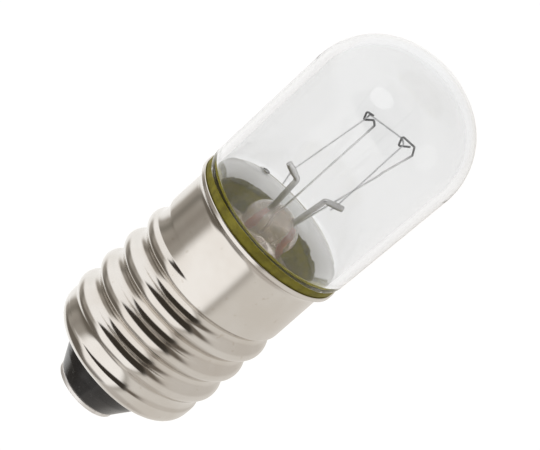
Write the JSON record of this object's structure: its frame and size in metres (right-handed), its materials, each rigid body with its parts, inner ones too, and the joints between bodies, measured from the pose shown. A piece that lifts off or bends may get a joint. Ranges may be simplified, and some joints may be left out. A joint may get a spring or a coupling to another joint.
{
  "type": "indicator bulb",
  "caption": "Clear tubular indicator bulb with a domed end, a wire filament mount and a rolled screw base.",
  "frame": {"origin": "lowest point of the centre contact's solder dome, on the lamp's axis", "axes": "+Z along the lamp's axis towards the dome, X along the press and the filament mount"},
  "size_m": [0.0102, 0.0102, 0.028],
  "materials": {
    "nickel_plate": "nickel plate on a drawn and rolled brass sheet, bright satin",
    "black_glass": "opaque black glass, pressed, glossy",
    "contact_plate": "nickel-plated contact plate, satin",
    "solder": "soft solder, set with a satin skin",
    "base_cement": "olive base cement, fine grained and matt",
    "clear_glass": "clear blown glass, fire polished",
    "stem_glass": "drawn and pressed stem glass, faintly tinted",
    "nickel_wire": "drawn nickel wire, satin grey",
    "copper_seal": "copper-clad seal wire, reddened in the press",
    "tinned_lead": "tinned copper lead, dull bright",
    "support_wire": "hard grey support wire, drawn",
    "filament_wire": "coiled tungsten wire, dark grey"
  },
  "bodies": {
    "root": {"screw_shell": "nickel_plate", "base_insulator": "black_glass", "centre_contact": "contact_plate", "centre_solder": "solder", "side_solder": "solder", "base_cement": "base_cement", "glass_bulb": "clear_glass", "glass_stem": "stem_glass", "inner_lead_left": "nickel_wire", "inner_lead_right": "nickel_wire", "seal_wire_left": "copper_seal", "seal_wire_right": "copper_seal", "side_lead": "tinned_lead", "centre_lead": "tinned_lead", "support_left": "support_wire", "support_right": "support_wire", "filament": "filament_wire"}
  },
  "joints": []
}
